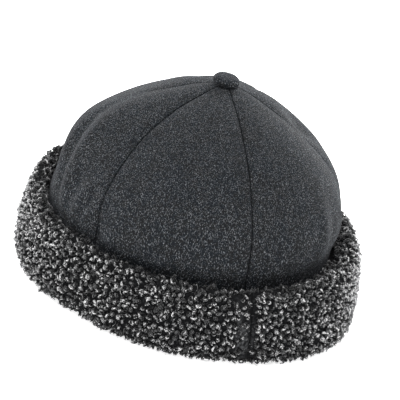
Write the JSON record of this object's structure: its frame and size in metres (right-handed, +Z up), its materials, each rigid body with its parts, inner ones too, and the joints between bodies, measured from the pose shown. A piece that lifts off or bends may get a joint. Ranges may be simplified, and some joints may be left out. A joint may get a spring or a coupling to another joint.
{
  "type": "docker beanie",
  "caption": "Brimless docker beanie: a rounded charcoal wool crown of sewn gores under a covered button, with a thick turned-up cuff of black and grey curly fleece.",
  "frame": {"origin": "on the surface that the cap rests on, under the middle of its cuff", "axes": "+Z up through the crown to the button, +Y to the wearer's front, so the back seam is at -Y and the wearer's right is +X"},
  "size_m": [0.2112, 0.23, 0.1395],
  "materials": {
    "wool": "fulled wool flannel, charcoal flecked with light grey",
    "button_wool": "the same wool drawn over a button",
    "fleece": "curly pile fleece, black with grey tips"
  },
  "bodies": {
    "root": {"gore_back_right": "wool", "gore_right": "wool", "gore_front_right": "wool", "gore_front_left": "wool", "gore_left": "wool", "gore_back_left": "wool", "crown_button": "button_wool", "cuff": "fleece"}
  },
  "joints": []
}
